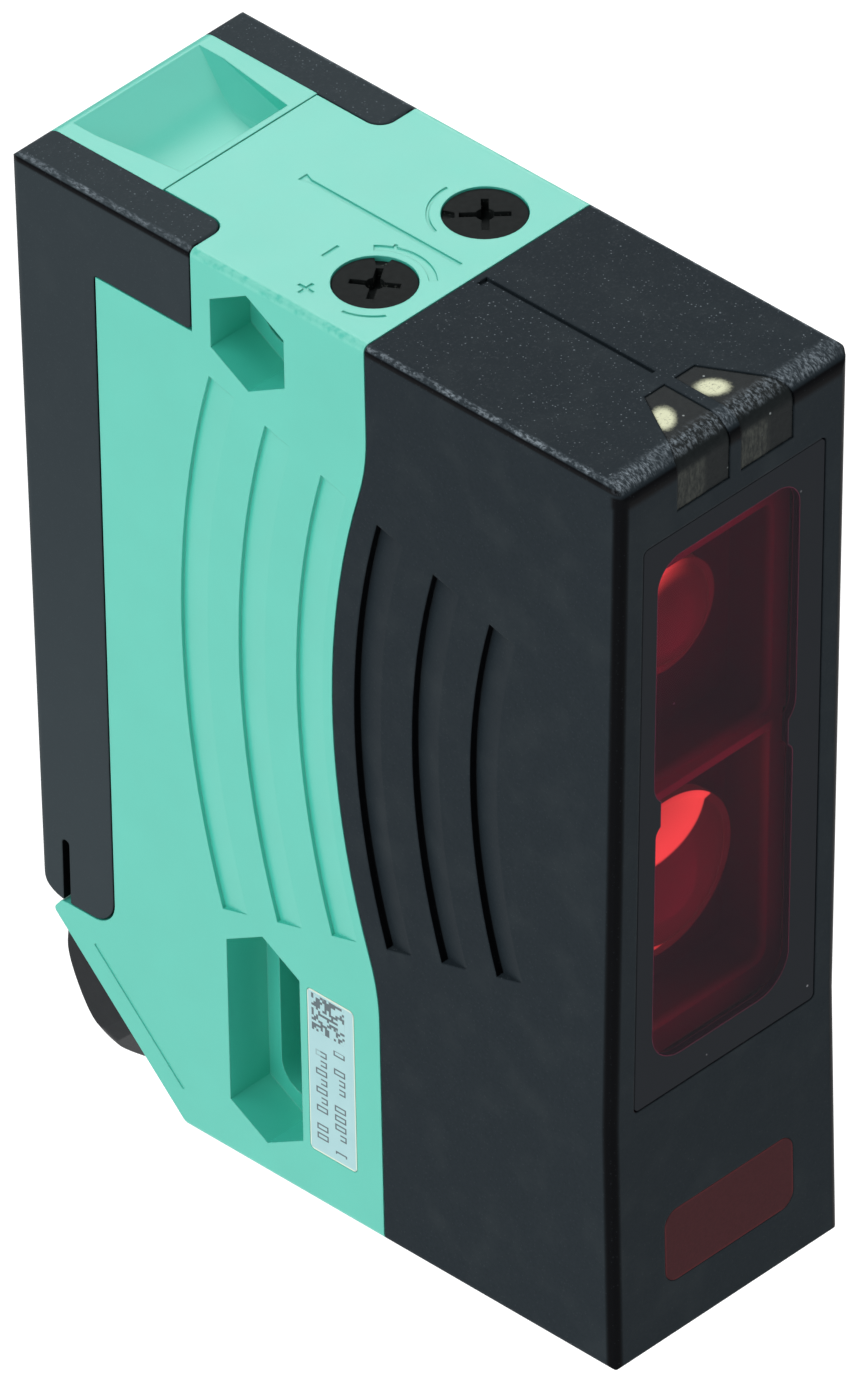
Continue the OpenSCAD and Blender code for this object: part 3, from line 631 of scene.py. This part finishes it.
# Dark tone, light tone, width of the lumps in millimetres, and least roughness.
PLAIN = {
    "led_body": ((0.72, 0.68, 0.5), (0.85, 0.8, 0.66), 0.5, 0.2),
    "chip_black": ((0.012, 0.012, 0.013), (0.03, 0.03, 0.032), 0.3, 0.5),
    "terminal_grey": ((0.40, 0.44, 0.42), (0.48, 0.52, 0.50), 1.5, 0.4),
    "relay_blue": ((0.02, 0.06, 0.20), (0.03, 0.08, 0.26), 1.5, 0.35),
    "tape_yellow": ((0.50, 0.38, 0.03), (0.62, 0.48, 0.06), 0.9, 0.4),
    "capacitor_sleeve": ((0.02, 0.02, 0.06), (0.03, 0.03, 0.09), 1, 0.25),
}


def plain_finish(name, dark, light, grain, rough):
    """Two tones of one colour in soft lumps, with a matching roughness and relief."""
    paint = Paint(name)
    paint.colour(paint.blend(dark, light, paint.noise(grain, 3)))
    paint.rough(paint.noise(grain * 0.4) * 0.18 + rough)
    paint.relief(paint.noise(grain * 0.3) * 0.005, 0.1)
    return paint.material


def board_green():
    """Solder resist with copper tracks under it and small pads."""
    paint = Paint("board_green")
    track_y = (paint.y * (1 / 1.1)).fraction().within(0.3, 0.6, 0.05)
    track_z = (paint.z * (1 / 1.3)).fraction().within(0.3, 0.6, 0.05)
    part = paint.noise(5, 0).rise(0.49, 0.51)
    track = track_y * part + track_z * (1 - part)
    colour = paint.blend((0.010, 0.075, 0.028), (0.022, 0.14, 0.05), track)
    near, chance = paint.cells(2.4)
    pad = near.rise(0.16, 0.13) * chance.rise(0.55, 0.6)
    paint.colour(paint.blend(colour, (0.62, 0.60, 0.52), pad))
    paint.rough(paint.noise(0.6) * 0.1 + 0.3)
    paint.relief(track * 0.02 + pad * 0.03, 0.05)
    return paint.material


def brushed(name, dark, light):
    """Plated metal with fine lines across it."""
    paint = Paint(name)
    streak = paint.streaks(1.2, 9, 9)
    paint.colour(paint.blend(dark, light, streak))
    paint.rough(streak * 0.25 + 0.2)
    paint.relief(streak * 0.006, 0.1)
    paint.set(Metallic=1.0)
    return paint.material


# ---------------------------------------------------------------- finishes on the nodes

# One finish for each material slot of the record.
FINISHES = {
    "teal_plastic": teal_plastic(),
    "black_plastic": black_plastic(),
    "gland_black": gland_black(),
    "dial_black": dial_black(),
    "black_rubber": black_rubber(),
    "red_window": red_window(),
    "smoky_guide": smoky_guide(),
    "label_pale": label_pale(),
    "badge_red": badge_red(),
    "board_green": board_green(),
    "plated_steel": brushed("plated_steel", (0.55, 0.55, 0.57), (0.78, 0.78, 0.80)),
    "terminal_metal": brushed("terminal_metal", (0.55, 0.48, 0.32), (0.76, 0.70, 0.52)),
}
for name, values in PLAIN.items():
    FINISHES[name] = plain_finish(name, *values)

# Nodes that look different from the rest of their slot.
SPECIAL = {
    "emitter_lens": lens_plastic("emitter_lens", EMITTER_RADIUS, crescent),
    "receiver_lens": lens_plastic("receiver_lens", RECEIVER_RADIUS, wedge),
    "optics_carrier": carrier_plastic(),
    "aperture_mask": mask_black(),
}

for name, node in nodes.items():
    for slot in node.material_slots:
        slot.material = SPECIAL.get(name) or FINISHES[slot.material.name.split(".")[0]]


# ---------------------------------------------------------------- floor

FLOOR_HEIGHT = -0.12


def floor_finish():
    """Almost white, and lit a little from within."""
    paint = Paint("floor")
    paint.colour(paint.blend((0.86, 0.86, 0.86), (0.90, 0.90, 0.90), paint.noise(30, 3)))
    paint.rough(paint.noise(8) * 0.1 + 0.7)
    paint.set(Emission_Color=(1, 1, 1, 1), Emission_Strength=0.35)
    return paint.material


def make_floor():
    """A pale table, far enough below the bracket-held sensor to show no hard shadow."""
    mesh = bpy.data.meshes.new("floor")
    shape = bmesh.new()
    bmesh.ops.create_grid(shape, x_segments=2, y_segments=2, size=4)
    shape.to_mesh(mesh)
    shape.free()
    floor = bpy.data.objects.new("floor", mesh)
    bpy.context.scene.collection.objects.link(floor)
    floor.location.z = FLOOR_HEIGHT
    mesh.materials.append(floor_finish())


make_floor()
